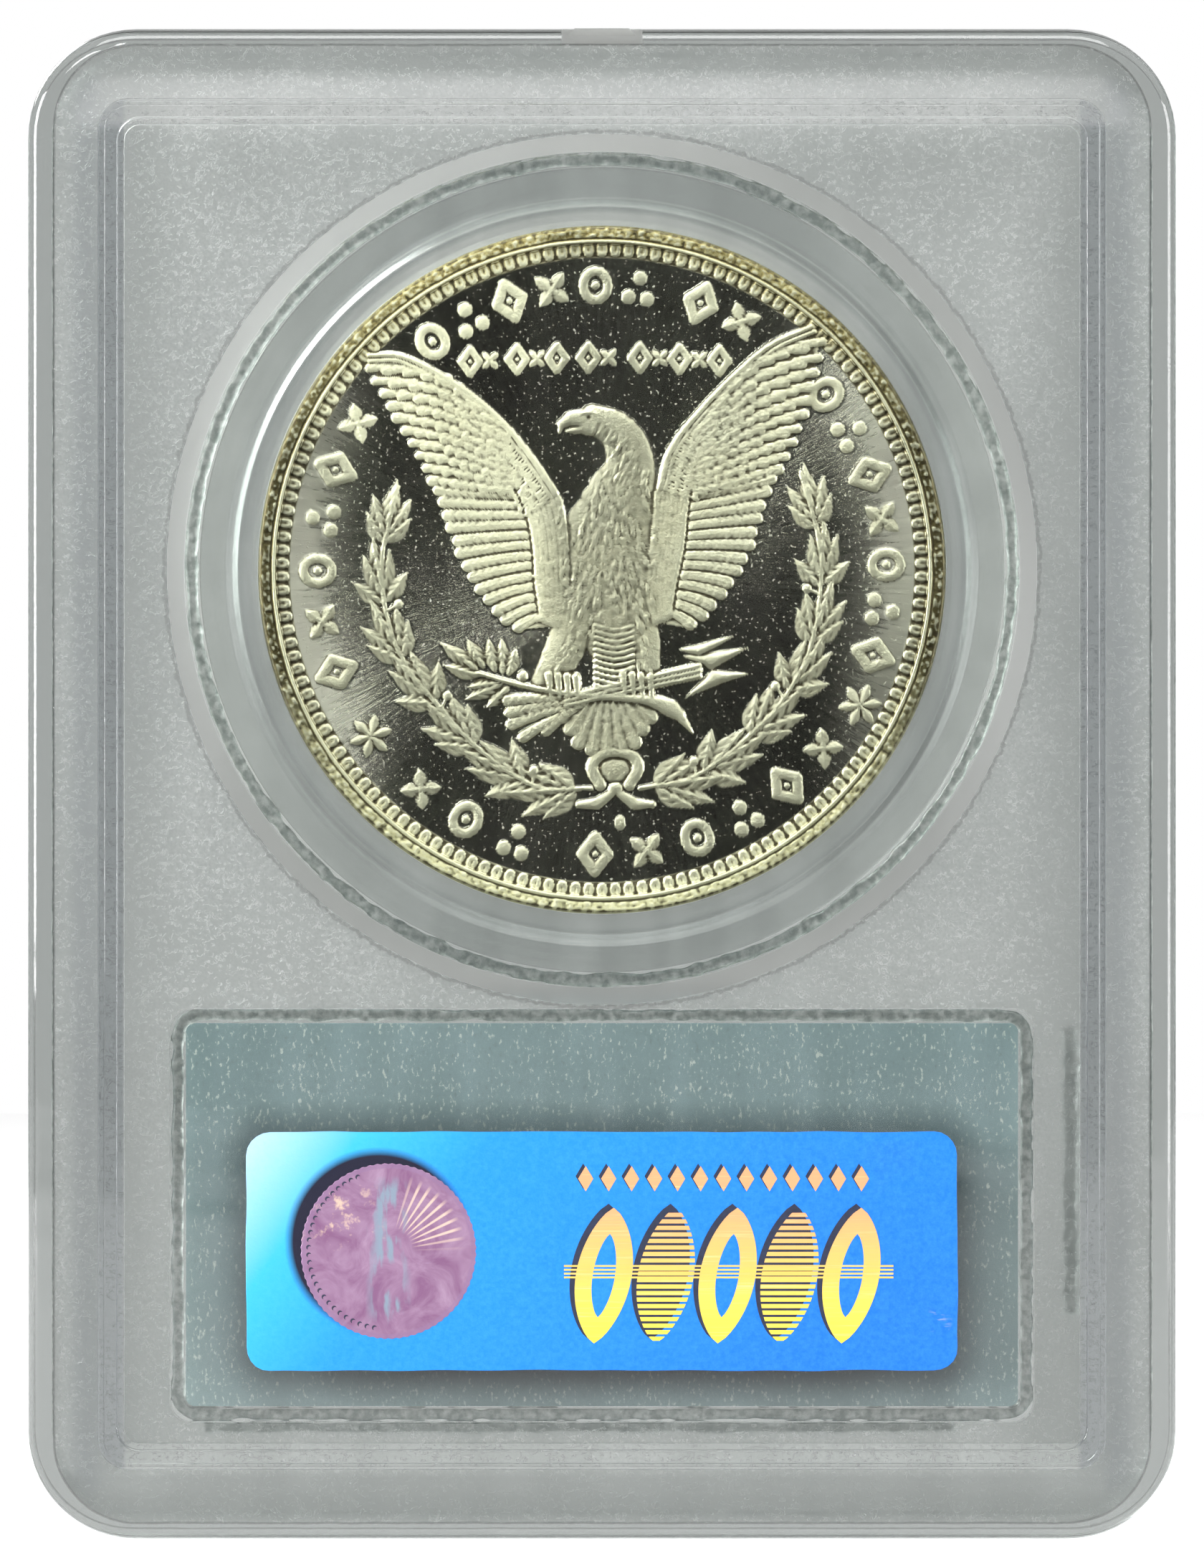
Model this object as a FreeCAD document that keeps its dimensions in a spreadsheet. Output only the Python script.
import FreeCAD, Part

import math
import os

import Sketcher

# A sealed display holder for one graded coin, standing on its lower edge.
# X runs across the holder, Z up it, and -Y points out of its rear face.
# The origin is at the middle of the lower edge. All sizes are in millimetres.

doc = FreeCAD.newDocument("graded_coin_slab")
sheet = doc.addObject("Spreadsheet::Sheet", "Sizes")

SIZES = [
    # name, value, what it is
    ("slab_width", 63.5, "whole holder, across"),
    ("slab_height", 83.5, "whole holder, up"),
    ("slab_corner", 6.0, "radius of the holder's corners"),
    ("half_depth", 3.15, "parting plane to the polished rim of each face"),
    ("edge_round", 0.85, "rounding where the face meets the edge"),
    ("side_wall", 1.45, "thickness of the two long walls"),
    ("end_wall", 0.92, "thickness of the top and bottom walls"),
    ("wall_corner", 4.6, "inner radius where the walls meet"),
    ("plate_thick", 1.4, "thickness of each face plate"),
    ("grain_step", 0.06, "grained areas stand this proud of polished ones"),
    ("ridge_height", 0.8, "stacking ridge above the polished rim"),
    ("ridge_shoulder", 0.45, "height of the ridge's lower step"),
    ("ridge_width", 1.45, "stacking ridge, foot to foot"),
    ("ridge_step", 0.34, "width of the ridge's lower step, each side"),
    ("ridge_corner", 1.7, "outer radius of the ridge's corners"),
    ("ridge_corner_inner", 0.9, "inner radius of the ridge's corners"),
    ("ridge_round", 0.12, "rounding along the top of the ridge"),
    ("rear_ridge_inset", 3.9, "edge of the holder to the rear ridge"),
    ("front_ridge_inset", 2.3, "edge of the holder to the front ridge"),
    ("lip_width", 0.45, "outer lip of the step joint"),
    ("lip_corner", 5.55, "radius of the step joint's corners"),
    ("joint_gap", 0.02, "sliding clearance in the step joint"),
    ("joint_depth", 0.5, "depth of the step in the rear wall"),
    ("tongue_height", 0.3, "height of the tongue on the front wall"),
    ("weld_half", 0.15, "half the thickness of the inner weld beads"),
    ("weld_spread", 0.06, "how far a bead spreads past its wall"),
    ("coin_height", 53.6, "centre of the coin above the lower edge"),
    ("window_mouth", 24.05, "radius of the coin window at the face"),
    ("window_floor", 23.1, "radius of the coin window at its floor"),
    ("window_depth", 0.5, "floor of the coin window below the rim"),
    ("pane_inner", 1.25, "parting plane to the window's inner surface"),
    ("well_outer", 23.1, "outer radius of the coin well's wall"),
    ("well_inner", 22.4, "inner radius of the coin well's wall"),
    ("pocket_base", 6.5, "lower edge to the foot of the label pocket"),
    ("pocket_width", 47.7, "label pocket over its wall, across"),
    ("pocket_height", 22.8, "label pocket over its wall, up"),
    ("pocket_wall", 0.7, "thickness of the label pocket's wall"),
    ("pocket_corner", 1.2, "outer radius of the pocket's corners"),
    ("label_recess", 0.1, "polished label window below the grained face"),
    ("card_gap", 0.1, "clearance round the label card"),
    ("card_thick", 0.35, "thickness of the label card"),
    ("card_rear", 0.95, "parting plane to the card's rear face"),
    ("card_rest", 0.65, "width of the frame that carries the card"),
    ("sticker_width", 39.4, "foil sticker, across"),
    ("sticker_height", 13.3, "foil sticker, up"),
    ("sticker_corner", 1.3, "radius of the sticker's corners"),
    ("sticker_base", 9.3, "lower edge to the foot of the sticker"),
    ("sticker_thick", 0.1, "thickness of the foil sticker"),
    ("gate_wide", 4.5, "mould gate's scar, along its foot"),
    ("gate_narrow", 3.0, "mould gate's scar, along the top edge"),
    ("gate_drop", 0.85, "foot of the gate's scar below the top edge"),
    ("gate_sink", 0.12, "gate's scar below the polished rim"),
    ("ring_outer", 22.3, "outer radius of the coin ring"),
    ("ring_shoulder", 20.85, "radius where the ring starts to slope in"),
    ("ring_foot", 20.2, "radius where the slope ends"),
    ("ring_mouth", 19.4, "radius at the mouth of the bore"),
    ("ring_bore", 19.1, "radius of the bore that grips the coin"),
    ("ring_half", 1.1, "half the ring's thickness at its outer part"),
    ("ring_ledge", 0.75, "half the ring's thickness at its inner part"),
    ("ring_lip", 0.5, "half the length of the bore itself"),
    ("coin_radius", 19.05, "radius of the coin"),
    ("coin_half", 1.2, "half the coin's thickness at its rim"),
    ("coin_field", 0.96, "half the coin's thickness at its field"),
    ("rim_inner", 18.05, "inner radius of the coin's rim"),
    ("rim_foot", 17.95, "radius where the rim meets the field"),
    ("rim_bevel", 0.15, "bevel on the coin's outer edge"),
    ("bead_circle", 17.82, "radius of the circle of beads"),
    ("bead_radius", 0.27, "radius of one bead"),
    ("bead_height", 0.14, "height of a bead above the field"),
    ("device_height", 0.2, "height of the struck design above the field"),
]
BEAD_COUNT = 150
REAR = 1
FRONT = -1
BAD_STATES = {"Invalid", "Error"}


class Length:
    """A length worked out from the sheet: its value, and its expression."""

    def __init__(self, value, text):
        self.value = value
        self.text = text

    def __add__(self, other):
        return Length(self.value + other.value, f"({self.text} + {other.text})")

    def __sub__(self, other):
        return Length(self.value - other.value, f"({self.text} - {other.text})")

    def __rmul__(self, factor):
        return Length(factor * self.value, f"{factor} * {self.text}")


class Sizes:
    """Every size in the sheet, as a Length."""


def fill_sheet():
    """Write the driving sizes into the spreadsheet."""
    for row, (name, value, meaning) in enumerate(SIZES, start=1):
        sheet.set(f"A{row}", name)
        sheet.set(f"B{row}", str(value))
        sheet.setAlias(f"B{row}", name)
        sheet.set(f"C{row}", meaning)
        setattr(Sizes, name, Length(value, f"Sizes.{name}"))
    doc.recompute()


# ---------------------------------------------------------------- sketches

def new_body(name):
    body = doc.addObject("PartDesign::Body", name)
    body.Label = name
    return body


def new_sketch(body, name, plane="XZ_Plane", lift=None, slide=None):
    """Attach a sketch to one of the body's own planes, lifted off it or slid up it."""
    sketch = body.newObject("Sketcher::SketchObject", f"{body.Label}_{name}")
    base = next(item for item in body.Origin.OriginFeatures if item.Role == plane)
    sketch.AttachmentSupport = [(base, "")]
    sketch.MapMode = "FlatFace"
    if lift is not None:
        sketch.setExpression("AttachmentOffset.Base.z", lift.text)
    if slide is not None:
        sketch.setExpression("AttachmentOffset.Base.y", slide.text)
    return sketch


def bind(sketch, kind, *places, length):
    """Add a measured constraint and tie it to the sheet."""
    index = sketch.addConstraint(Sketcher.Constraint(kind, *places, length.value))
    sketch.setExpression(f"Constraints[{index}]", length.text)


def add_rectangle(sketch, width, height, base, corner):
    """A rounded rectangle, centred on the sketch's vertical axis."""
    half = width.value / 2
    radius = corner.value
    low = base.value + radius
    high = base.value + height.value - radius
    middles = [(half - radius, low), (half - radius, high), (radius - half, high), (radius - half, low)]
    arcs = []
    for turn, (x, z) in enumerate(middles):
        circle = Part.Circle(FreeCAD.Vector(x, z, 0), FreeCAD.Vector(0, 0, 1), radius)
        start = (turn - 1) * math.pi / 2
        arcs.append(sketch.addGeometry(Part.ArcOfCircle(circle, start, start + math.pi / 2), False))
    lines = []
    for here, there in zip(arcs, arcs[1:] + arcs[:1]):
        side = Part.LineSegment(sketch.getPoint(here, 2), sketch.getPoint(there, 1))
        lines.append(sketch.addGeometry(side, False))
        sketch.addConstraint(Sketcher.Constraint("Tangent", here, 2, lines[-1], 1))
        sketch.addConstraint(Sketcher.Constraint("Tangent", lines[-1], 2, there, 1))
    right, top, left, bottom = lines
    sketch.addConstraint(Sketcher.Constraint("Vertical", right))
    sketch.addConstraint(Sketcher.Constraint("Vertical", left))
    sketch.addConstraint(Sketcher.Constraint("Horizontal", bottom))
    for other in arcs[1:]:
        sketch.addConstraint(Sketcher.Constraint("Equal", arcs[0], other))
    sketch.addConstraint(Sketcher.Constraint("Symmetric", top, 1, top, 2, -2))
    bind(sketch, "Radius", arcs[0], length=corner)
    bind(sketch, "DistanceX", top, 2, top, 1, length=width - 2 * corner)
    bind(sketch, "DistanceY", bottom, 1, top, 1, length=height)
    if base.value:
        bind(sketch, "DistanceY", -1, 1, bottom, 1, length=base)
    else:
        sketch.addConstraint(Sketcher.Constraint("PointOnObject", bottom, 1, -1))


def inset_rectangle(sketch, side, end, corner):
    """A rounded rectangle set in from the holder's own outline."""
    width = Sizes.slab_width - 2 * side
    height = Sizes.slab_height - 2 * end
    add_rectangle(sketch, width, height, end, corner)


def add_circle(sketch, radius, height):
    """A circle centred on the sketch's vertical axis."""
    centre = FreeCAD.Vector(0, height.value, 0)
    circle = Part.Circle(centre, FreeCAD.Vector(0, 0, 1), radius.value)
    index = sketch.addGeometry(circle, False)
    sketch.addConstraint(Sketcher.Constraint("PointOnObject", index, 3, -2))
    bind(sketch, "DistanceY", -1, 1, index, 3, length=height)
    bind(sketch, "Radius", index, length=radius)


def add_outline(sketch, corners):
    """A closed outline of straight lines, each corner tied to the sheet."""
    places = [FreeCAD.Vector(x.value, y.value, 0) for x, y in corners]
    lines = []
    for here, there in zip(places, places[1:] + places[:1]):
        lines.append(sketch.addGeometry(Part.LineSegment(here, there), False))
    for line, following in zip(lines, lines[1:] + lines[:1]):
        sketch.addConstraint(Sketcher.Constraint("Coincident", line, 2, following, 1))
    for line, (x, y) in zip(lines, corners):
        for kind, length, axis in (("DistanceX", x, -2), ("DistanceY", y, -1)):
            if length.value:
                bind(sketch, kind, -1, 1, line, 1, length=length)
            else:
                sketch.addConstraint(Sketcher.Constraint("PointOnObject", line, 1, axis))


# ---------------------------------------------------------------- features

def volume_of(body):
    shape = body.Shape
    return 0.0 if shape.isNull() else shape.Volume


def check_change(feature, before, grows):
    """Stop if a feature failed, or took the wrong side of its sketch."""
    doc.recompute()
    change = feature.Shape.Volume - before
    if BAD_STATES & set(feature.State) or change == 0 or (change > 0) != grows:
        raise RuntimeError(f"{feature.Label} changed the volume by {change}")


def extrude(body, kind, sketch, length, outward):
    """A Pad or Pocket of the sketch. outward is along the sketch's own normal."""
    before = volume_of(body)
    feature = body.newObject(f"PartDesign::{kind}", f"{sketch.Label}_{kind.lower()}")
    feature.Profile = sketch
    feature.setExpression("Length", length.text)
    feature.Reversed = outward if kind == "Pocket" else not outward
    check_change(feature, before, kind == "Pad")


def revolve(body, kind, sketch):
    """A Revolution or Groove of the sketch about its own horizontal axis."""
    before = volume_of(body)
    feature = body.newObject(f"PartDesign::{kind}", f"{sketch.Label}_{kind.lower()}")
    feature.Profile = sketch
    feature.ReferenceAxis = (sketch, ["H_Axis"])
    feature.Angle = 360
    check_change(feature, before, kind == "Revolution")


# Two places nearer than this along Y are on one plane.
SAME_PLANE = 0.0001


def round_edges(body, name, depth, radius):
    """Round every edge that lies in the plane y = depth."""
    base = body.Tip
    chosen = []
    for number, edge in enumerate(base.Shape.Edges, start=1):
        box = edge.BoundBox
        if max(abs(box.YMin - depth), abs(box.YMax - depth)) < SAME_PLANE:
            chosen.append(f"Edge{number}")
    feature = body.newObject("PartDesign::Fillet", f"{body.Label}_{name}")
    feature.Base = (base, chosen)
    feature.setExpression("Radius", radius.text)
    doc.recompute()


# ---------------------------------------------------------------- shells

class Half:
    """One moulded half of the holder, with its sketches facing outwards."""

    def __init__(self, name, facing):
        self.body = new_body(name)
        self.facing = facing
        self.outward = facing == REAR

    def sketch(self, name, depth=None):
        """A sketch that lies depth outside the parting plane."""
        lift = None if depth is None else self.facing * depth
        return new_sketch(self.body, name, lift=lift)

    def grow(self, sketch, length):
        extrude(self.body, "Pad", sketch, length, self.outward)

    def grow_inward(self, sketch, length):
        extrude(self.body, "Pad", sketch, length, not self.outward)

    def cut(self, sketch, length):
        extrude(self.body, "Pocket", sketch, length, self.outward)

    def cut_inward(self, sketch, length):
        extrude(self.body, "Pocket", sketch, length, not self.outward)


def add_tray(half):
    """The block, its rounded edge, its grained face and the hollow in it."""
    outline = half.sketch("outline")
    inset_rectangle(outline, 0 * Sizes.side_wall, 0 * Sizes.end_wall, Sizes.slab_corner)
    half.grow(outline, Sizes.half_depth)
    round_edges(half.body, "edge", -half.facing * Sizes.half_depth.value, Sizes.edge_round)

    grain = half.sketch("grain", Sizes.half_depth)
    inset_rectangle(grain, Sizes.side_wall, Sizes.end_wall, Sizes.wall_corner)
    half.grow(grain, Sizes.grain_step)

    hollow = half.sketch("hollow")
    inset_rectangle(hollow, Sizes.side_wall, Sizes.end_wall, Sizes.wall_corner)
    half.cut(hollow, Sizes.half_depth - Sizes.plate_thick)


def add_ridge(half, inset):
    """The raised frame that lets holders stack, in two steps."""
    inner_corner = Sizes.ridge_corner_inner
    lower = half.sketch("ridge_lower", Sizes.half_depth)
    inset_rectangle(lower, inset, inset, Sizes.ridge_corner)
    inner = inset + Sizes.ridge_width
    inset_rectangle(lower, inner, inner, inner_corner)
    half.grow(lower, Sizes.ridge_shoulder)

    upper = half.sketch("ridge_upper", Sizes.half_depth)
    step = Sizes.ridge_step
    inset_rectangle(upper, inset + step, inset + step, Sizes.ridge_corner - step)
    inset_rectangle(upper, inner - step, inner - step, inner_corner + step)
    half.grow(upper, Sizes.ridge_height)
    crest = Sizes.half_depth + Sizes.ridge_height
    round_edges(half.body, "ridge_round", -half.facing * crest.value, Sizes.ridge_round)


def add_coin_window(half):
    """The sunk round window, its thick pane and the well's wall behind it."""
    facing = half.facing
    face = -facing * (Sizes.half_depth + Sizes.grain_step)
    floor = -facing * (Sizes.half_depth - Sizes.window_depth)
    dish = new_sketch(half.body, "window_dish", "YZ_Plane", slide=Sizes.coin_height)
    nothing = 0 * Sizes.window_depth
    add_outline(dish, [(floor, nothing), (floor, Sizes.window_floor),
                       (face, Sizes.window_mouth), (face, nothing)])
    revolve(half.body, "Groove", dish)

    plate_inner = Sizes.half_depth - Sizes.plate_thick
    pane = half.sketch("pane", plate_inner)
    add_circle(pane, Sizes.well_outer, Sizes.coin_height)
    half.grow_inward(pane, plate_inner - Sizes.pane_inner)

    well = half.sketch("well", plate_inner)
    add_circle(well, Sizes.well_outer, Sizes.coin_height)
    add_circle(well, Sizes.well_inner, Sizes.coin_height)
    half.grow_inward(well, plate_inner - Sizes.weld_half)


def add_pocket_wall(half):
    """The polished label window, and the wall round the label pocket."""
    window = half.sketch("label_window", Sizes.half_depth + Sizes.grain_step)
    add_rectangle(window, Sizes.pocket_width, Sizes.pocket_height, Sizes.pocket_base, Sizes.pocket_corner)
    half.cut_inward(window, Sizes.label_recess)

    plate_inner = Sizes.half_depth - Sizes.plate_thick
    wall = half.sketch("pocket_wall", plate_inner)
    add_rectangle(wall, Sizes.pocket_width, Sizes.pocket_height, Sizes.pocket_base, Sizes.pocket_corner)
    thick = Sizes.pocket_wall
    add_rectangle(wall, Sizes.pocket_width - 2 * thick, Sizes.pocket_height - 2 * thick,
                  Sizes.pocket_base + thick, Sizes.pocket_corner - thick)
    half.grow_inward(wall, plate_inner - Sizes.weld_half)


def add_card_frame(half):
    """The inner frame of the front half, which carries the label card."""
    plate_inner = Sizes.half_depth - Sizes.plate_thick
    outer = Sizes.pocket_wall + Sizes.card_gap
    inner = outer + Sizes.card_rest
    corner = Sizes.pocket_corner - Sizes.pocket_wall
    frame = half.sketch("card_frame", plate_inner)
    for inset in (outer, inner):
        add_rectangle(frame, Sizes.pocket_width - 2 * inset, Sizes.pocket_height - 2 * inset,
                      Sizes.pocket_base + inset, corner)
    half.grow_inward(frame, plate_inner + Sizes.card_rear - Sizes.card_thick)


def add_gate_scar(half):
    """The flat left on the top edge where the mould's gate was broken off."""
    depth = Sizes.half_depth - Sizes.gate_sink
    scar = half.sketch("gate_scar", depth)
    top = Sizes.slab_height
    foot = top - Sizes.gate_drop
    add_outline(scar, [(-0.5 * Sizes.gate_wide, foot), (0.5 * Sizes.gate_wide, foot),
                       (0.5 * Sizes.gate_narrow, top), (-0.5 * Sizes.gate_narrow, top)])
    half.grow_inward(scar, Sizes.edge_round)


def step_ring(sketch, outer_inset, outer_corner):
    """The band of wall inside the step joint's lip."""
    inset_rectangle(sketch, outer_inset, outer_inset, outer_corner)
    inset_rectangle(sketch, Sizes.side_wall, Sizes.end_wall, Sizes.wall_corner)


def make_rear_shell():
    half = Half("rear_shell", REAR)
    add_tray(half)
    add_ridge(half, Sizes.rear_ridge_inset)
    add_coin_window(half)
    add_pocket_wall(half)
    add_gate_scar(half)
    step = half.sketch("step")
    step_ring(step, Sizes.lip_width, Sizes.lip_corner)
    half.cut(step, Sizes.joint_depth)
    return half.body


def make_front_shell():
    half = Half("front_shell", FRONT)
    add_tray(half)
    add_ridge(half, Sizes.front_ridge_inset)
    add_coin_window(half)
    add_pocket_wall(half)
    add_card_frame(half)
    tongue = half.sketch("tongue")
    step_ring(tongue, Sizes.lip_width + Sizes.joint_gap, Sizes.lip_corner - Sizes.joint_gap)
    half.grow_inward(tongue, Sizes.tongue_height)
    return half.body


# ---------------------------------------------------------------- weld beads

def make_perimeter_weld():
    """The bead that closes the step joint all round the holder."""
    body = new_body("perimeter_weld")
    sketch = new_sketch(body, "bead", lift=Sizes.tongue_height)
    step_ring(sketch, Sizes.lip_width + Sizes.joint_gap, Sizes.lip_corner - Sizes.joint_gap)
    extrude(body, "Pad", sketch, Sizes.joint_depth - Sizes.tongue_height, True)
    return body


def make_coin_well_weld():
    """The bead between the two walls of the coin well."""
    body = new_body("coin_well_weld")
    sketch = new_sketch(body, "bead", lift=-1 * Sizes.weld_half)
    add_circle(sketch, Sizes.well_outer + Sizes.weld_spread, Sizes.coin_height)
    add_circle(sketch, Sizes.well_inner - Sizes.weld_spread, Sizes.coin_height)
    extrude(body, "Pad", sketch, 2 * Sizes.weld_half, True)
    return body


def make_label_pocket_weld():
    """The bead between the two walls of the label pocket."""
    body = new_body("label_pocket_weld")
    sketch = new_sketch(body, "bead", lift=-1 * Sizes.weld_half)
    spread = Sizes.weld_spread
    add_rectangle(sketch, Sizes.pocket_width + 2 * spread, Sizes.pocket_height + 2 * spread,
                  Sizes.pocket_base - spread, Sizes.pocket_corner + spread)
    thick = Sizes.pocket_wall
    add_rectangle(sketch, Sizes.pocket_width - 2 * thick, Sizes.pocket_height - 2 * thick,
                  Sizes.pocket_base + thick, Sizes.pocket_corner - thick)
    extrude(body, "Pad", sketch, 2 * Sizes.weld_half, True)
    return body


# ---------------------------------------------------------------- contents

def make_coin_ring():
    """The clear ring that grips the coin's edge, stepped down towards its bore."""
    body = new_body("coin_ring")
    section = new_sketch(body, "section", "YZ_Plane", slide=Sizes.coin_height)
    upper = [(Sizes.ring_half, Sizes.ring_outer), (Sizes.ring_half, Sizes.ring_shoulder),
             (Sizes.ring_ledge, Sizes.ring_foot), (Sizes.ring_ledge, Sizes.ring_mouth),
             (Sizes.ring_lip, Sizes.ring_bore)]
    lower = [(-1 * y, radius) for y, radius in reversed(upper)]
    add_outline(section, upper + lower)
    revolve(body, "Revolution", section)
    return body


def add_bead_ring(body, name, lift, outward):
    """The circle of small beads inside one rim of the coin."""
    sketch = new_sketch(body, name, lift=lift, slide=Sizes.coin_height)
    add_circle(sketch, Sizes.bead_radius, Sizes.bead_circle)
    extrude(body, "Pad", sketch, Sizes.bead_height, outward)
    before = volume_of(body)
    pattern = body.newObject("PartDesign::PolarPattern", f"{body.Label}_{name}_ring")
    pattern.Originals = [body.getObject(f"{sketch.Label}_pad")]
    pattern.Axis = (sketch, ["N_Axis"])
    pattern.Angle = 360
    pattern.Occurrences = BEAD_COUNT
    body.Tip = pattern
    check_change(pattern, before, True)


# The struck eagle's outline, in millimetres from the coin's centre.
EAGLE = [
    (-2.3, 7.2), (-2.4, 8.2), (-0.3, 9.1), (1.7, 8.4), (2.6, 6.7), (3.1, 5.0), (5.1, 8.4),
    (9.1, 12.4), (11.7, 13.6), (11.2, 9.7), (8.7, 3.0), (6.4, -1.3), (3.1, -3.2),
    (3.1, -6.1), (3.1, -8.6), (0.2, -10.1), (-2.6, -8.6), (-3.9, -6.3), (-2.6, -3.3),
    (-6.4, -1.3), (-8.6, 3.0), (-11.3, 8.7), (-13.1, 12.0), (-7.9, 10.5), (-2.6, 4.4),
    (-0.9, 4.0), (0.2, 5.7),
]
# One half of the wreath below the eagle, as a centre line and a half width.
WREATH = [(-1.4, -12.0), (-6.9, -9.6), (-10.9, -5.3), (-12.3, 0.4), (-11.2, 4.9)]
WREATH_HALF = 0.7
# A plain head on the far side: an oval, with a straight-sided neck below it.
HEAD_CENTRE = (0.0, 2.6)
HEAD_RADII = (8.2, 6.6)
NECK = [(-2.6, -2.6), (3.9, -2.4), (5.2, -9.2), (-4.6, -9.2)]


def offset_path(points, half):
    """A closed band of the given half width about a path that tapers to its end."""
    left = []
    right = []
    for index, (x, z) in enumerate(points):
        before = points[max(index - 1, 0)]
        after = points[min(index + 1, len(points) - 1)]
        length = math.dist(before, after)
        across = ((before[1] - after[1]) / length, (after[0] - before[0]) / length)
        reach = half if index < len(points) - 1 else 0.3 * half
        left.append((x + across[0] * reach, z + across[1] * reach))
        right.append((x - across[0] * reach, z - across[1] * reach))
    return left + right[::-1]


def add_free_outline(sketch, points):
    """A closed outline of straight lines through fixed points."""
    places = [FreeCAD.Vector(x, z, 0) for x, z in points]
    for here, there in zip(places, places[1:] + places[:1]):
        index = sketch.addGeometry(Part.LineSegment(here, there), False)
        sketch.addConstraint(Sketcher.Constraint("Block", index))


def make_coin():
    """The coin: blank, rims, beads, and a flat version of each struck design."""
    body = new_body("coin")
    section = new_sketch(body, "section", "YZ_Plane", slide=Sizes.coin_height)
    nothing = 0 * Sizes.coin_field
    upper = [(Sizes.coin_half - Sizes.rim_bevel, Sizes.coin_radius),
             (Sizes.coin_half, Sizes.coin_radius - Sizes.rim_bevel),
             (Sizes.coin_half, Sizes.rim_inner), (Sizes.coin_field, Sizes.rim_foot),
             (Sizes.coin_field, nothing)]
    lower = [(-1 * y, radius) for y, radius in reversed(upper)]
    add_outline(section, upper + lower)
    revolve(body, "Revolution", section)

    add_bead_ring(body, "rear_bead", Sizes.coin_field, True)
    add_bead_ring(body, "front_bead", -1 * Sizes.coin_field, False)

    eagle = new_sketch(body, "eagle", lift=Sizes.coin_field, slide=Sizes.coin_height)
    add_free_outline(eagle, EAGLE)
    extrude(body, "Pad", eagle, Sizes.device_height, True)
    for side in (1, -1):
        branch = [(side * x, z) for x, z in WREATH]
        wreath = new_sketch(body, f"wreath_{'left' if side == 1 else 'right'}",
                            lift=Sizes.coin_field, slide=Sizes.coin_height)
        add_free_outline(wreath, offset_path(branch, WREATH_HALF))
        extrude(body, "Pad", wreath, Sizes.device_height, True)

    head = new_sketch(body, "head", lift=-1 * Sizes.coin_field, slide=Sizes.coin_height)
    middle = FreeCAD.Vector(HEAD_CENTRE[0], HEAD_CENTRE[1], 0)
    oval = Part.Ellipse(middle, *HEAD_RADII)
    sketch_index = head.addGeometry(oval, False)
    head.addConstraint(Sketcher.Constraint("Block", sketch_index))
    extrude(body, "Pad", head, Sizes.device_height, False)
    neck = new_sketch(body, "neck", lift=-1 * Sizes.coin_field, slide=Sizes.coin_height)
    add_free_outline(neck, NECK)
    extrude(body, "Pad", neck, Sizes.device_height, False)
    return body


def make_label_card():
    """The printed card in the label pocket."""
    body = new_body("label_card")
    sketch = new_sketch(body, "outline", lift=Sizes.card_rear - Sizes.card_thick)
    inset = Sizes.pocket_wall + Sizes.card_gap
    add_rectangle(sketch, Sizes.pocket_width - 2 * inset, Sizes.pocket_height - 2 * inset,
                  Sizes.pocket_base + inset, Sizes.pocket_corner - Sizes.pocket_wall)
    extrude(body, "Pad", sketch, Sizes.card_thick, True)
    return body


def make_sticker():
    """The foil sticker on the rear face, over the label window."""
    body = new_body("foil_sticker")
    lift = Sizes.half_depth + Sizes.grain_step - Sizes.label_recess
    sketch = new_sketch(body, "outline", lift=lift)
    add_rectangle(sketch, Sizes.sticker_width, Sizes.sticker_height,
                  Sizes.sticker_base, Sizes.sticker_corner)
    extrude(body, "Pad", sketch, Sizes.sticker_thick, True)
    return body


# ---------------------------------------------------------------- writing out

def check_document():
    """Stop if any object of the document failed to build."""
    failed = [item.Label for item in doc.Objects if BAD_STATES & set(item.State)]
    if failed:
        raise RuntimeError(f"objects that failed: {failed}")


def write_parts(bodies):
    """Write each sub-part to a STEP file named after it."""
    os.makedirs("parts", exist_ok=True)
    for body in bodies:
        if body.Shape.isNull() or not body.Shape.isValid():
            raise RuntimeError(f"{body.Label} has no valid shape")
    for body in bodies:
        body.Shape.exportStep(f"parts/{body.Label}.step")
        box = body.Shape.BoundBox
        print(f"{body.Label:20} {len(body.Shape.Solids)} solid {body.Shape.Volume:9.2f} mm3"
              f"  {box.XLength:.2f} x {box.YLength:.2f} x {box.ZLength:.2f}")


fill_sheet()
parts = [
    make_rear_shell(),
    make_front_shell(),
    make_perimeter_weld(),
    make_coin_well_weld(),
    make_label_pocket_weld(),
    make_coin_ring(),
    make_coin(),
    make_label_card(),
    make_sticker(),
]
doc.recompute()
check_document()
write_parts(parts)
